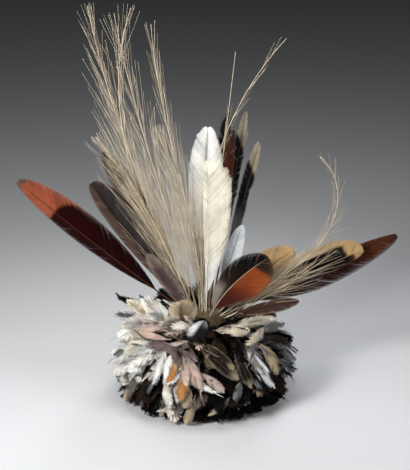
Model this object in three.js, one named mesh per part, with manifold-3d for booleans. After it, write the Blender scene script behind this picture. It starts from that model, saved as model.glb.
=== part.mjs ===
// Feathered headdress: a domed fibre cap, open below, covered with rows of short feathers, with a fan of
// long feathers and straw-like plumes bound into its crown. Millimetres, +Z up, -Y is the front. The origin
// lies under the middle of the whole headdress, on the surface that it rests on.

import * as THREE from "three";
import { mergeVertices } from "three/addons/utils/BufferGeometryUtils.js";
import Module from "manifold-3d";

const wasm = await Module();
wasm.setup();

// Driving dimensions.
const GAP = 0.3; // left between neighbouring pieces
const CAP_RADIUS = 86;
const CAP_WALL = 3;
const CAP_UPRIGHT = 38; // height of the cap's straight wall
const CAP_DOME = 62; // rise of the dome above that wall
const CAP_SIDES = 24;
const CAP_DOME_STEPS = 5;
const STRIP_THICKNESS = 1.6; // the strip that a row of short feathers is tied to
const STRIP_HEIGHT = 7;
const BINDING_RADIUS = 31;
const BINDING_TOP = 119;
const BINDING_SIDES = 16;
const QUILL_RADIUS = 1.5;
const EDGE_THICKNESS = 0.9; // of a vane at its edge
const SHAFT_THICKNESS = 2.2; // of a vane along its shaft

const CAP_TOP = CAP_UPRIGHT + CAP_DOME;
const UP = new THREE.Vector3(0, 0, 1);

// ---------------------------------------------------------------- small tools

const radians = THREE.MathUtils.degToRad;

// A repeatable unevenness from -1 to 1.
function unevenness(index, kind) {
  const wave = Math.sin(index * 12.9898 + kind * 78.233) * 43758.5453;
  return (wave - Math.floor(wave)) * 2 - 1;
}

// A closed skin over rings of points, each ring anticlockwise as seen from the last one.
function skin(rings) {
  const sides = rings[0].length;
  const last = (rings.length - 1) * sides;
  const faces = [];
  for (let start = 0; start < last; start += sides) {
    for (let side = 0; side < sides; side += 1) {
      const a = start + side;
      const b = start + ((side + 1) % sides);
      faces.push(a, b, b + sides, a, b + sides, a + sides);
    }
  }
  for (let side = 1; side < sides - 1; side += 1) {
    faces.push(0, side + 1, side);
    faces.push(last, last + side, last + side + 1);
  }
  const geometry = new THREE.BufferGeometry();
  const values = rings.flat().flatMap((point) => [point.x, point.y, point.z]);
  geometry.setAttribute("position", new THREE.Float32BufferAttribute(values, 3));
  geometry.setIndex(faces);
  return geometry;
}

function toSolid(geometry) {
  const bare = geometry.clone();
  bare.deleteAttribute("normal");
  bare.deleteAttribute("uv");
  const merged = mergeVertices(bare);
  const mesh = new wasm.Mesh({
    numProp: 3,
    vertProperties: new Float32Array(merged.attributes.position.array),
    triVerts: new Uint32Array(merged.index.array),
  });
  return new wasm.Manifold(mesh);
}

function toGeometry(solid) {
  const mesh = solid.getMesh();
  const geometry = new THREE.BufferGeometry();
  geometry.setAttribute("position", new THREE.BufferAttribute(mesh.vertProperties, 3));
  geometry.setIndex(new THREE.BufferAttribute(mesh.triVerts, 1));
  return geometry;
}

function fuse(geometries) {
  const solids = geometries.map(toSolid);
  return toGeometry(solids.reduce((whole, solid) => whole.add(solid)));
}

function piece(name, geometry, color, roughness = 0.75) {
  const material = new THREE.MeshStandardMaterial({ color, roughness, metalness: 0, flatShading: true });
  const mesh = new THREE.Mesh(geometry, material);
  mesh.name = name;
  return mesh;
}

// ---------------------------------------------------------------- cap

// Radius and height of the cap's shell, at an inset from its outer face. Angle 0 is where the dome begins.
function domePoint(angle, inset) {
  const radius = (CAP_RADIUS - inset) * Math.cos(angle);
  return new THREE.Vector2(radius, CAP_UPRIGHT + (CAP_DOME - inset) * Math.sin(angle));
}

function makeCap() {
  const outer = [new THREE.Vector2(CAP_RADIUS, 0)];
  const inner = [new THREE.Vector2(CAP_RADIUS - CAP_WALL, 0)];
  for (let step = 0; step <= CAP_DOME_STEPS; step += 1) {
    const angle = (step / CAP_DOME_STEPS) * (Math.PI / 2);
    outer.push(domePoint(angle, 0));
    inner.push(domePoint(angle, CAP_WALL));
  }
  outer.at(-1).x = 0;
  inner.at(-1).x = 0;
  const cap = new THREE.LatheGeometry([...inner.reverse(), ...outer], CAP_SIDES);
  return piece("cap", cap.rotateX(Math.PI / 2), 0x8a7350, 0.95);
}

// The cap's outer radius and outward slope at a height.
function capSurface(height) {
  const climb = Math.max(0, (height - CAP_UPRIGHT) / CAP_DOME);
  const angle = Math.asin(climb);
  const outward = new THREE.Vector2(Math.cos(angle) / CAP_RADIUS, Math.sin(angle) / CAP_DOME).normalize();
  return { radius: CAP_RADIUS * Math.cos(angle), outward };
}

// ---------------------------------------------------------------- blades

// Share of its full width that a vane has at a place along it, from 0 at its foot to 1 at its tip.
function widthShare(along, widest, blunt) {
  if (along < widest) {
    return Math.sin((Math.PI / 2) * (along / widest)) ** 0.8;
  }
  return Math.sqrt(1 - ((along - widest) / (1 - widest)) ** blunt);
}

// Places and directions along a shaft that starts straight up and turns by sweep (sideways) and arch (back).
function shaftAt(share, { length, sweep, arch = 0 }) {
  const steps = 24;
  const place = new THREE.Vector3();
  for (let step = 0; step < steps; step += 1) {
    const middle = (share * (step + 0.5)) / steps;
    place.addScaledVector(shaftDirection(middle, sweep, arch), (length * share) / steps);
  }
  const along = shaftDirection(share, sweep, arch);
  const across = new THREE.Vector3(Math.cos(radians(sweep * share)), 0, -Math.sin(radians(sweep * share)));
  return { place, across, back: along.clone().cross(across) };
}

function shaftDirection(share, sweep, arch) {
  const side = radians(sweep * share);
  const rise = radians(arch * share);
  return new THREE.Vector3(
    Math.sin(side) * Math.cos(rise),
    Math.sin(rise),
    Math.cos(side) * Math.cos(rise),
  );
}

const QUILL_SHARES = [0, 0.6];
const VANE_SHARES = [0, 0.12, 0.28, 0.46, 0.64, 0.8, 0.91, 0.98, 1];

// One feather: a round quill, then a thin vane that is thickest along its shaft and cups backwards.
function featherGeometry(feather) {
  const { quill, left, right, widest, blunt, cup } = feather;
  const shares = [...QUILL_SHARES.map((share) => share * quill)];
  shares.push(...VANE_SHARES.map((share) => quill + share * (1 - quill)));
  const rings = shares.map((share) => {
    const vane = Math.max(0, (share - quill) / (1 - quill));
    const width = share < quill ? 0 : widthShare(vane, widest, blunt);
    const { place, across, back } = shaftAt(share, feather);
    const bare = share <= quill;
    const edge = bare ? QUILL_RADIUS : EDGE_THICKNESS;
    const shaft = bare ? QUILL_RADIUS * 2 : SHAFT_THICKNESS * (1 - 0.6 * vane);
    const leftWidth = Math.max(left * width, QUILL_RADIUS * (1 - 0.4 * vane));
    const rightWidth = Math.max(right * width, QUILL_RADIUS * (1 - 0.4 * vane));
    const point = (x, y) => place.clone().addScaledVector(across, x).addScaledVector(back, y);
    return [
      point(-leftWidth, cup * width * left - edge / 2),
      point(0, -shaft / 2),
      point(rightWidth, cup * width * right - edge / 2),
      point(rightWidth, cup * width * right + edge / 2),
      point(0, shaft / 2),
      point(-leftWidth, cup * width * left + edge / 2),
    ];
  });
  return skin(rings);
}

// ---------------------------------------------------------------- long feathers

// x, y, z: foot of the quill. lean: to the right, back: away from the front, turn: round the shaft, degrees.
// left and right: widths of the two vanes. widest: how far up the vane, blunt: 1.5 pointed to 4 square.
const LONG_FEATHERS = [
  { name: "rufous_left", x: -18, y: 2, z: 112, lean: -53, back: 3, turn: 0, length: 298, quill: 0.2,
    left: 11, right: 28, widest: 0.55, blunt: 2, sweep: 4, cup: 0.08, color: 0x6b2818 },
  { name: "brown_left_1", x: -13, y: -4, z: 112, lean: -38, back: -1, turn: 0, length: 238, quill: 0.18,
    left: 13, right: 25, widest: 0.66, blunt: 3, sweep: 6, cup: 0.08, color: 0x6a5148 },
  { name: "brown_left_2", x: -9, y: 8, z: 112, lean: -32, back: 3, turn: 0, length: 262, quill: 0.18,
    left: 12, right: 26, widest: 0.55, blunt: 2, sweep: 6, cup: 0.08, color: 0x5b453a },
  { name: "white_tall", x: 0, y: 6, z: 112, lean: 1, back: 4, turn: 0, length: 264, quill: 0.16,
    left: 21, right: 22, widest: 0.72, blunt: 2, sweep: 1, cup: 0.08, color: 0xe9e4d8 },
  { name: "white_broad", x: 4, y: -5, z: 112, lean: 2, back: 1, turn: 0, length: 224, quill: 0.16,
    left: 7, right: 33, widest: 0.74, blunt: 4, sweep: -3, cup: 0.08, color: 0xe6dfcb },
  { name: "dark_1", x: 5, y: 15, z: 112, lean: 5, back: 5, turn: 12, length: 283, quill: 0.16,
    left: 9, right: 9, widest: 0.75, blunt: 1.6, sweep: 2, cup: 0.08, color: 0x33201a },
  { name: "dark_2", x: 9, y: 11, z: 112, lean: 6, back: 4, turn: 8, length: 260, quill: 0.16,
    left: 8, right: 10, widest: 0.7, blunt: 1.6, sweep: 2, cup: 0.08, color: 0x44261d },
  { name: "tipped_1", x: 12, y: 18, z: 112, lean: 9, back: 6, turn: 10, length: 284, quill: 0.16,
    left: 9, right: 9, widest: 0.82, blunt: 2, sweep: 1, cup: 0.08, color: 0x3b342c },
  { name: "tipped_2", x: 17, y: 15, z: 112, lean: 13, back: 5, turn: 10, length: 246, quill: 0.16,
    left: 10, right: 8, widest: 0.8, blunt: 1.6, sweep: 2, cup: 0.08, color: 0x3b342c },
  { name: "white_short", x: 18, y: 8, z: 110, lean: 14, back: 3, turn: 0, length: 134, quill: 0.2,
    left: 13, right: 12, widest: 0.6, blunt: 1.8, sweep: 3, cup: 0.08, color: 0xcfd3d8 },
  { name: "tan_broad", x: 14, y: 2, z: 108, lean: 44, back: 1, turn: 0, length: 148, quill: 0.2,
    left: 21, right: 22, widest: 0.62, blunt: 2, sweep: 8, cup: 0.05, color: 0xb08a55 },
  { name: "rufous_right", x: 23, y: 8, z: 106, lean: 62, back: 2, turn: 0, length: 270, quill: 0.2,
    left: 12, right: 29, widest: 0.5, blunt: 1.5, sweep: 4, cup: 0.05, color: 0x5e2a1c },
  { name: "tan_barred", x: 19, y: -2, z: 107, lean: 60, back: 1, turn: 0, length: 224, quill: 0.2,
    left: 26, right: 13, widest: 0.6, blunt: 3, sweep: 6, cup: 0.05, color: 0x9c7a4c },
  { name: "brown_right", x: 14, y: -11, z: 106, lean: 69, back: -1, turn: 0, length: 122, quill: 0.22,
    left: 9, right: 13, widest: 0.6, blunt: 1.8, sweep: 10, cup: 0.08, color: 0x33211b },
  { name: "rufous_front", x: 4, y: -15, z: 106, lean: 21, back: -8, turn: 0, length: 137, quill: 0.19,
    left: 24, right: 38, widest: 0.62, blunt: 2, sweep: 36, cup: 0.1, color: 0x8f3f1d },
];

function makeLongFeather(feather) {
  const mesh = piece(feather.name, featherGeometry(feather), feather.color);
  mesh.rotation.set(radians(-feather.back), radians(feather.lean), radians(feather.turn), "YXZ");
  mesh.position.set(feather.x, feather.y, feather.z);
  return mesh;
}

// ---------------------------------------------------------------- plumes

// One straw-like stem each: it leaves the binding at the lean foot, passes its middle at middle and ends at
// tip, all in degrees to the right. barbs: pairs of barb locks, reach: their length, spread: their angle.
const STEM_STEPS = 7;
const STEM_FOOT_WIDTH = 2.4;
const STEM_TIP_WIDTH = 1.4;
const BARB_STEP = 2; // step of the stem at which its first barbs leave it
const BARB_WIDTH = 2.4;
const BARB_THICKNESS = 1.4;
const PLUMES = [
  { name: "straw_plume_1", x: -9, y: 3.5, z: 108, foot: -22, middle: -19, tip: -10, back: 1.5,
    length: 453, barbs: 4, reach: 100, spread: 9 },
  { name: "straw_plume_2", x: -9, y: -1, z: 108, foot: -25, middle: -15, tip: 20, back: 0.5,
    length: 450, barbs: 3, reach: 80, spread: 9 },
  { name: "straw_plume_3", x: -5, y: 1, z: 108, foot: -14, middle: -16, tip: -9, back: 1,
    length: 436, barbs: 4, reach: 90, spread: 10 },
  { name: "straw_plume_4", x: -1, y: -1.5, z: 108, foot: 0, middle: -13, tip: -3, back: 1,
    length: 414, barbs: 3, reach: 70, spread: 8 },
  { name: "straw_plume_5", x: -8, y: -5.5, z: 108, foot: -20, middle: -25, tip: -38, back: -3,
    length: 298, barbs: 3, reach: 80, spread: 10 },
  { name: "straw_plume_6", x: -4.5, y: 5.2, z: 108, foot: 0, middle: -13, tip: -20, back: 0.5,
    length: 276, barbs: 3, reach: 80, spread: 9 },
  { name: "straw_plume_7", x: 4, y: 1, z: 108, foot: -8, middle: 14, tip: 42, back: 1,
    length: 416, barbs: 3, reach: 60, spread: 13 },
  { name: "straw_plume_8", x: 8, y: 0, z: 108, foot: 2, middle: 6, tip: 6, back: 3,
    length: 371, barbs: 1, reach: 70, spread: 6 },
  { name: "straw_plume_9", x: 22, y: -6, z: 106, foot: 62, middle: 57, tip: 50, back: 0,
    length: 190, barbs: 3, reach: 60, spread: 18 },
  { name: "curled_plume", x: 16, y: -8, z: 108, foot: 47, middle: 44, tip: -50, back: 0,
    length: 316, barbs: 4, reach: 42, spread: 22 },
];

function leanAlong(share, { foot, middle, tip }) {
  const bend = 2 * (foot + tip - 2 * middle);
  return foot + (4 * middle - 3 * foot - tip) * share + bend * share * share;
}

// Place, lean and cross directions at a share of the stem's length.
function stemAt(share, plume) {
  const steps = 32;
  const place = new THREE.Vector3();
  const rise = radians(plume.back);
  for (let step = 0; step < steps; step += 1) {
    const lean = radians(leanAlong((share * (step + 0.5)) / steps, plume));
    const stride = (plume.length * share) / steps;
    place.x += stride * Math.sin(lean) * Math.cos(rise);
    place.y += stride * Math.sin(rise);
    place.z += stride * Math.cos(lean) * Math.cos(rise);
  }
  const lean = leanAlong(share, plume);
  return { place, lean, across: acrossLean(lean), back: new THREE.Vector3(0, 1, 0) };
}

function acrossLean(lean) {
  return new THREE.Vector3(Math.cos(radians(lean)), 0, -Math.sin(radians(lean)));
}

// A tapered strip with a three-sided section, lying in the fan's plane.
function stripGeometry(path, footWidth, tipWidth, thickness) {
  const rings = path.map(({ place, lean }, index) => {
    const share = index / (path.length - 1);
    const half = (footWidth + (tipWidth - footWidth) * share) / 2;
    const deep = (thickness * (1 - 0.4 * share)) / 2;
    const across = acrossLean(lean);
    const point = (x, y) => place.clone().addScaledVector(across, x).add(new THREE.Vector3(0, y, 0));
    return [point(-half, deep), point(0, -deep), point(half, deep)];
  });
  return skin(rings);
}

function stemGeometry(plume) {
  const path = [];
  for (let step = 0; step <= STEM_STEPS; step += 1) {
    path.push(stemAt(step / STEM_STEPS, plume));
  }
  return stripGeometry(path, STEM_FOOT_WIDTH, STEM_TIP_WIDTH, STEM_FOOT_WIDTH);
}

function barbGeometry(plume, share, side) {
  const start = stemAt(share, plume);
  const lean = start.lean + side * plume.spread;
  const stride = plume.reach * (1 - 0.45 * share);
  const end = start.place.clone();
  end.x += stride * Math.sin(radians(lean));
  end.z += stride * Math.cos(radians(lean));
  const path = [{ place: start.place, lean }, { place: end, lean }];
  return stripGeometry(path, BARB_WIDTH, BARB_WIDTH / 2, BARB_THICKNESS);
}

function makePlume(plume) {
  const strips = [stemGeometry(plume)];
  for (let barb = 0; barb < plume.barbs; barb += 1) {
    const share = Math.round(BARB_STEP + (barb * (STEM_STEPS - BARB_STEP)) / plume.barbs) / STEM_STEPS;
    strips.push(barbGeometry(plume, share, -1), barbGeometry(plume, share, 1));
  }
  const mesh = piece(plume.name, fuse(strips), 0xc9b48c);
  mesh.position.set(plume.x, plume.y, plume.z);
  return mesh;
}

// ---------------------------------------------------------------- rows of short feathers

// rise: height of the strip on the cap. pitch: angle above level at which its feathers leave it, droop: how
// far they bend down. left and right: pitch added at either side. width: across both vanes of a feather.
const ROWS = [
  { name: "feather_row_1", rise: 24, pitch: -8, droop: 48, left: 0, right: 0,
    count: 20, length: 36, width: 27, color: 0x2b2622 },
  { name: "feather_row_2", rise: 48, pitch: 2, droop: 64, left: 0, right: 0,
    count: 20, length: 50, width: 26, color: 0x8a7466 },
  { name: "feather_row_3", rise: 67, pitch: 14, droop: 64, left: 4, right: 0,
    count: 20, length: 60, width: 26, color: 0xd8d0c2 },
  { name: "feather_row_4", rise: 83, pitch: 30, droop: 58, left: 10, right: -16,
    count: 16, length: 66, width: 27, color: 0xb7a596 },
  { name: "feather_row_5", rise: 93, pitch: 60, droop: 62, left: 4, right: -38,
    count: 12, length: 62, width: 28, color: 0xcabda6 },
];
const ROW_LOCK_SHARES = [0, 0.36, 0.74, 1];
const LOCK_THICKNESS = 1.5;

function stripRing(rise) {
  const { radius, outward } = capSurface(rise);
  const along = new THREE.Vector2(-outward.y, outward.x);
  const corner = (out, up) => new THREE.Vector2(radius, rise)
    .addScaledVector(outward, GAP + out)
    .addScaledVector(along, up);
  const half = STRIP_HEIGHT / 2;
  const outline = [
    corner(0, -half),
    corner(STRIP_THICKNESS, -half),
    corner(STRIP_THICKNESS, half),
    corner(0, half),
    corner(0, -half),
  ];
  return new THREE.LatheGeometry(outline, CAP_SIDES).rotateX(Math.PI / 2);
}

// A short feather that leaves its strip at the ring's place and bends down over the row below.
function lockGeometry(row, rowNumber, index) {
  const seat = index + 0.5 * (rowNumber % 2) + 0.12 * unevenness(index, rowNumber);
  const turn = (seat / row.count) * Math.PI * 2;
  const rightward = Math.cos(turn);
  const lift = rightward < 0 ? row.left * rightward ** 2 : row.right * rightward ** 2;
  const pitch = radians(row.pitch + lift + 5 * unevenness(index, rowNumber + 10));
  const skew = turn + radians(5 * unevenness(index, rowNumber + 20));
  const lock = {
    length: row.length * (1 + 0.12 * unevenness(index, rowNumber + 30)),
    sweep: 14 * unevenness(index, rowNumber + 40),
    arch: row.droop,
  };
  const rings = ROW_LOCK_SHARES.map((share) => {
    const { place, across, back } = shaftAt(share, lock);
    const half = (row.width / 2) * (0.35 + 0.65 * Math.sin(Math.PI * Math.min(share + 0.12, 1)) ** 0.7);
    const end = share === 1 ? 0.3 : 1;
    const point = (x, y) => place.clone().addScaledVector(across, x).addScaledVector(back, y);
    const cup = 0.18 * half * end;
    return [
      point(-half * end, cup),
      point(0, -LOCK_THICKNESS / 2),
      point(half * end, cup),
      point(0, LOCK_THICKNESS / 2),
    ];
  });
  const level = new THREE.Vector3(Math.cos(skew), Math.sin(skew), 0);
  const along = level.clone().multiplyScalar(Math.cos(pitch)).addScaledVector(UP, Math.sin(pitch));
  const back = level.clone().multiplyScalar(Math.sin(pitch)).addScaledVector(UP, -Math.cos(pitch));
  const { radius, outward } = capSurface(row.rise);
  const depth = GAP + STRIP_THICKNESS * 0.5;
  const reach = radius + outward.x * depth;
  const frame = new THREE.Matrix4().makeBasis(back.clone().cross(along), back, along);
  frame.setPosition(reach * Math.cos(turn), reach * Math.sin(turn), row.rise + outward.y * depth);
  return skin(rings).applyMatrix4(frame);
}

function makeRow(row, rowNumber) {
  const parts = [stripRing(row.rise)];
  for (let index = 0; index < row.count; index += 1) {
    parts.push(lockGeometry(row, rowNumber, index));
  }
  return piece(row.name, fuse(parts), row.color, 0.9);
}

// ---------------------------------------------------------------- quill binding

const SOCKET_RADIUS = 2.4;
const SOCKET_SIDES = 6;
const SOCKET_DEPTH = 26; // longer than the way out of the binding

// A round channel along a quill or stem, whose places and frames come from placeAt(millimetres along it).
function channelGeometry(placeAt) {
  const stations = [-GAP, SOCKET_DEPTH / 2, SOCKET_DEPTH];
  const rings = stations.map((millimetres) => {
    const { place, across, back } = placeAt(millimetres);
    const ring = [];
    for (let side = 0; side < SOCKET_SIDES; side += 1) {
      const angle = ((side + 0.5) / SOCKET_SIDES) * Math.PI * 2;
      ring.push(place.clone()
        .addScaledVector(across, SOCKET_RADIUS * Math.cos(angle))
        .addScaledVector(back, SOCKET_RADIUS * Math.sin(angle)));
    }
    return ring;
  });
  return skin(rings);
}

function featherChannel(feather, mesh) {
  mesh.updateMatrixWorld();
  return channelGeometry((millimetres) => shaftAt(millimetres / feather.length, feather))
    .applyMatrix4(mesh.matrixWorld);
}

function stemChannel(plume) {
  return channelGeometry((millimetres) => stemAt(millimetres / plume.length, plume))
    .translate(plume.x, plume.y, plume.z);
}

function makeBinding(channels) {
  const outline = [new THREE.Vector2(0, CAP_TOP + GAP)];
  for (const share of [0.35, 0.7, 1]) {
    const radius = BINDING_RADIUS * share;
    const climb = Math.sqrt(1 - (radius / (CAP_RADIUS + GAP)) ** 2);
    outline.push(new THREE.Vector2(radius, CAP_UPRIGHT + (CAP_DOME + GAP * 2) * climb));
  }
  outline.push(new THREE.Vector2(BINDING_RADIUS, BINDING_TOP - 14));
  outline.push(new THREE.Vector2(BINDING_RADIUS * 0.9, BINDING_TOP - 5));
  outline.push(new THREE.Vector2(BINDING_RADIUS * 0.7, BINDING_TOP));
  outline.push(new THREE.Vector2(0, BINDING_TOP));
  const knob = new THREE.LatheGeometry(outline, BINDING_SIDES).rotateX(Math.PI / 2);
  const carved = channels.reduce((solid, channel) => solid.subtract(toSolid(channel)), toSolid(knob));
  return piece("quill_binding", toGeometry(carved), 0x6d5a40, 0.9);
}

// ---------------------------------------------------------------- assembly

const feathers = LONG_FEATHERS.map(makeLongFeather);
const channels = LONG_FEATHERS.map((feather, index) => featherChannel(feather, feathers[index]));
channels.push(...PLUMES.map(stemChannel));

const assembly = new THREE.Group();
assembly.add(makeCap());
ROWS.forEach((row, index) => assembly.add(makeRow(row, index + 1)));
assembly.add(makeBinding(channels));
assembly.add(...feathers);
assembly.add(...PLUMES.map(makePlume));

// The origin goes under the middle of the whole box; the cap's rim stands on the surface already.
const middle = new THREE.Box3().setFromObject(assembly, true).getCenter(new THREE.Vector3());
assembly.position.set(-middle.x, -middle.y, 0);

const headdress = new THREE.Group();
headdress.add(assembly);

export default headdress;
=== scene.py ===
"""Feathered headdress: the looks of each piece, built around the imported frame.

Lengths are millimetres in the cap's own frame (its axis is x = y = 0, +Z up, -Y the front) until a mesh is
made, which turns them into metres in the row frame.
"""

import math

import bpy
import numpy as np
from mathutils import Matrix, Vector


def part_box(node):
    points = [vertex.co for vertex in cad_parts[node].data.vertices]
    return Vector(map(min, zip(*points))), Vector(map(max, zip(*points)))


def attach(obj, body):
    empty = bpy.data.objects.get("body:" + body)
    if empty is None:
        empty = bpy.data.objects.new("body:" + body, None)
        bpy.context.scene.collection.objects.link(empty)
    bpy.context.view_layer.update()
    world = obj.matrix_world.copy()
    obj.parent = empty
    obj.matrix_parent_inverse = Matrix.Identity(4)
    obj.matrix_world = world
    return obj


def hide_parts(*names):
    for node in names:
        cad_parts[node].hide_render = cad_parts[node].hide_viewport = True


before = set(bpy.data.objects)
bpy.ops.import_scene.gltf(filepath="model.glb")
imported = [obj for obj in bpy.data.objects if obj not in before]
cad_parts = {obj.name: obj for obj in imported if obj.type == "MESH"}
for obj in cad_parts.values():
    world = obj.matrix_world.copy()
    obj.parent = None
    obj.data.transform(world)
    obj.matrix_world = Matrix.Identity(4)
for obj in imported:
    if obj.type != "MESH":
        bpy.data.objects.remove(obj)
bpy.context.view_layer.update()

MM = 0.001
CAP_LOW, CAP_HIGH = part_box("cap")
SHIFT = np.array([(CAP_LOW.x + CAP_HIGH.x) / 2, (CAP_LOW.y + CAP_HIGH.y) / 2, 0.0])
UP = np.array([0.0, 0.0, 1.0])

# The cap, as in the part.
GAP = 0.3
CAP_RADIUS = 86.0
CAP_WALL = 3.0
CAP_UPRIGHT = 38.0
CAP_DOME = 62.0
STRIP_THICKNESS = 1.6
BINDING_RADIUS = 31.0
BINDING_TOP = 119.0


# ---------------------------------------------------------------- small tools


def table(columns, *rows):
    """Rows as dicts, keyed by the names of their columns."""
    return [dict(zip(columns.split(), row, strict=True)) for row in rows]


def add_object(name, data):
    thing = bpy.data.objects.new(name, data)
    bpy.context.scene.collection.objects.link(thing)
    return thing


def dress(mesh, places, tints, material):
    """Gives a mesh its UV map, a place for each corner, its tint at each point, and its material."""
    mesh.uv_layers.new(name="OFBake").data.foreach_set("uv", np.array(places, np.float32).ravel())
    colour = np.ones((len(mesh.vertices), 4), np.float32)
    colour[:, :3] = np.clip(tints, 0, 1)
    mesh.attributes.new("tint", "FLOAT_COLOR", "POINT").data.foreach_set("color", colour.ravel())
    mesh.materials.append(material)


def unit(vectors):
    return vectors / np.maximum(np.linalg.norm(vectors, axis=-1, keepdims=True), 1e-12)


def mix(a, b, share):
    """Colours a to b by a share of any shape."""
    share = np.clip(np.asarray(share, float), 0.0, 1.0)[..., None]
    return np.asarray(a) * (1 - share) + np.asarray(b) * share


def rise(value, low, high):
    """0 below low to 1 above high, smoothly."""
    share = np.clip((value - low) / (high - low), 0.0, 1.0)
    return share * share * (3 - 2 * share)


def turned(lean=0.0, back=0.0, turn=0.0):
    """A frame (columns across, back, along) leaned to the right and to the back, and turned round itself."""
    y, x, z = math.radians(lean), math.radians(-back), math.radians(turn)
    about_y = np.array([[math.cos(y), 0, math.sin(y)], [0, 1, 0], [-math.sin(y), 0, math.cos(y)]])
    about_x = np.array([[1, 0, 0], [0, math.cos(x), -math.sin(x)], [0, math.sin(x), math.cos(x)]])
    about_z = np.array([[math.cos(z), -math.sin(z), 0], [math.sin(z), math.cos(z), 0], [0, 0, 1]])
    return about_y @ about_x @ about_z


def around(radius, angle, height):
    return np.array([radius * math.cos(angle), radius * math.sin(angle), height])


def unevenness(index, kind):
    """The part's own repeatable unevenness, from -1 to 1."""
    wave = math.sin(index * 12.9898 + kind * 78.233) * 43758.5453
    return (wave - math.floor(wave)) * 2 - 1


# ---------------------------------------------------------------- meshes from strips

BARB = np.array([(-0.5, 0.0), (0.5, 0.0), (0.0, 1.0)])


def tube(sides):
    angles = np.arange(sides) / sides * 2 * np.pi
    return np.stack([np.cos(angles), np.sin(angles)], -1) / 2


class Bundle:
    """Many closed strips and tubes that become one mesh, with a cell of the UV map for each."""

    def __init__(self):
        self.points, self.tints = [], []
        self.corners, self.sizes, self.places, self.cells = [], [], [], []
        self.used, self.strips = 0, 0

    def add(self, path, width, depth, normal, tint, section=BARB):
        """path (n, m, 3), width and depth (n, m), normal (n, m, 3) and tint (n, m, 3) of n strips."""
        count, stations, _ = path.shape
        sides = len(section)
        along = unit(np.gradient(path, axis=1))
        normal = unit(normal - (normal * along).sum(-1, keepdims=True) * along)
        across = np.cross(normal, along)
        sideways = (section[:, 0] * np.asarray(width)[..., None])[..., None] * across[:, :, None]
        outward = (section[:, 1] * np.asarray(depth)[..., None])[..., None] * normal[:, :, None]
        self.points.append((path[:, :, None] + sideways + outward).reshape(-1, 3))
        self.tints.append(np.repeat(tint.reshape(-1, 3), sides, axis=0))

        index = self.used + np.arange(count * stations * sides).reshape(count, stations, sides)
        beside = np.roll(index, -1, axis=2)
        quads = np.stack([index[:, :-1], beside[:, :-1], beside[:, 1:], index[:, 1:]], -1)
        step = 0.08 + 0.84 * np.arange(stations) / (stations - 1)
        place_u = np.stack([step[:-1], step[:-1], step[1:], step[1:]], -1)[:, None, :]
        side = np.arange(sides) / sides
        place_v = np.stack([side, side + 1 / sides, side + 1 / sides, side], -1)[None]
        place = np.stack(np.broadcast_arrays(place_u, place_v), -1)
        strip = self.strips + np.arange(count)
        self._faces(quads, np.broadcast_to(place, (count,) + place.shape), strip)
        end = np.stack([section[:, 0] * 0.06, 0.4 + section[:, 1] * 0.3], -1)
        for ring, at in ((index[:, 0, ::-1], 0.04), (index[:, -1], 0.96)):
            order = end[::-1] if at < 0.5 else end
            self._faces(ring, np.broadcast_to(order + (at, 0), (count, sides, 2)), strip)
        self.used += count * stations * sides
        self.strips += count

    def _faces(self, corners, places, strip):
        size = corners.shape[-1]
        faces = corners.reshape(len(strip), -1, size)
        self.corners.append(faces.reshape(-1))
        self.sizes.append(np.full(faces.shape[0] * faces.shape[1], size))
        self.places.append(places.reshape(-1, 2))
        self.cells.append(np.repeat(strip, faces.shape[1] * size))

    def build(self, name, material):
        points = np.concatenate(self.points) * MM + SHIFT
        corners = np.concatenate(self.corners)
        sizes = np.concatenate(self.sizes)
        mesh = bpy.data.meshes.new(name)
        mesh.vertices.add(len(points))
        mesh.vertices.foreach_set("co", points.astype(np.float32).ravel())
        mesh.loops.add(len(corners))
        mesh.loops.foreach_set("vertex_index", corners.astype(np.int32))
        mesh.polygons.add(len(sizes))
        starts = np.concatenate([[0], np.cumsum(sizes)[:-1]])
        mesh.polygons.foreach_set("loop_start", starts.astype(np.int32))

        columns = max(1, math.ceil(math.sqrt(self.strips / 4)))
        rows = math.ceil(self.strips / columns)
        cell = np.concatenate(self.cells)
        origin = np.stack([cell % columns, cell // columns], -1)
        place = (origin + 0.04 + 0.92 * np.concatenate(self.places)) / (columns, rows)
        dress(mesh, place, np.concatenate(self.tints), material)
        mesh.update(calc_edges=True)
        mesh.validate()
        return add_object(name, mesh)


def finish_piece(piece, slot, *nodes):
    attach(piece, "root")
    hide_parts(*nodes)


# ---------------------------------------------------------------- materials


def material_nodes(name):
    material = bpy.data.materials.new(name)
    material.use_nodes = True
    tree = material.node_tree
    return material, tree, tree.nodes["Principled BSDF"]


def noise(tree, scale, detail, stretch=(1, 1, 1)):
    """A noise of about 1000 / scale millimetres."""
    where = tree.nodes.new("ShaderNodeTexCoord")
    mapping = tree.nodes.new("ShaderNodeMapping")
    mapping.inputs["Scale"].default_value = stretch
    texture = tree.nodes.new("ShaderNodeTexNoise")
    texture.inputs["Scale"].default_value = scale
    texture.inputs["Detail"].default_value = detail
    tree.links.new(where.outputs["Object"], mapping.inputs["Vector"])
    tree.links.new(mapping.outputs["Vector"], texture.inputs["Vector"])
    return texture.outputs["Fac"]


def stretched(tree, value, low, high):
    """A noise value from about 0.3 to 0.7, turned into low to high."""
    span = tree.nodes.new("ShaderNodeMapRange")
    span.inputs["From Min"].default_value = 0.3
    span.inputs["From Max"].default_value = 0.7
    span.inputs["To Min"].default_value = low
    span.inputs["To Max"].default_value = high
    tree.links.new(value, span.inputs["Value"])
    return span.outputs["Result"]


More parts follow.
